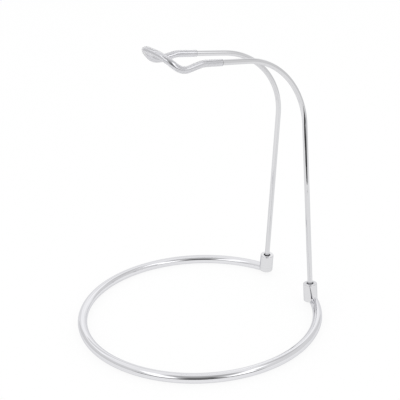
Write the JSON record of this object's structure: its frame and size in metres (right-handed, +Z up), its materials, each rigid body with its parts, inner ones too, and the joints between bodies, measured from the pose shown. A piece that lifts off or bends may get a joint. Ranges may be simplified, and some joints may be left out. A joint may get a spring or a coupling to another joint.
{
  "type": "eyeglasses display stand",
  "caption": "Free-standing chromed wire stand: an open ring base with turned sockets carries a bent wire frame whose sleeved nose bend holds a pair of spectacles.",
  "frame": {"origin": "on the table, midway across the stand's width and depth", "axes": "+Z up, -Y towards the front, where the spectacles face, +X to the right as seen from the front"},
  "size_m": [0.1454, 0.1412, 0.165],
  "materials": {
    "ring_chrome": "bright chrome plate on steel wire",
    "socket_chrome": "bright chrome plate on turned steel",
    "frame_chrome": "bright chrome plate on steel wire",
    "clear_sleeve": "clear soft PVC tube, satin gloss"
  },
  "bodies": {
    "base": {"base_ring": "ring_chrome", "left_socket": "socket_chrome", "right_socket": "socket_chrome"},
    "frame": {"wire_frame": "frame_chrome", "nose_sleeve": "clear_sleeve"}
  },
  "joints": [
    {"name": "frame_lift", "type": "slide", "parent": "base", "child": "frame", "axis": [0, 0, 1], "range_m": [0, 0.03]}
  ]
}
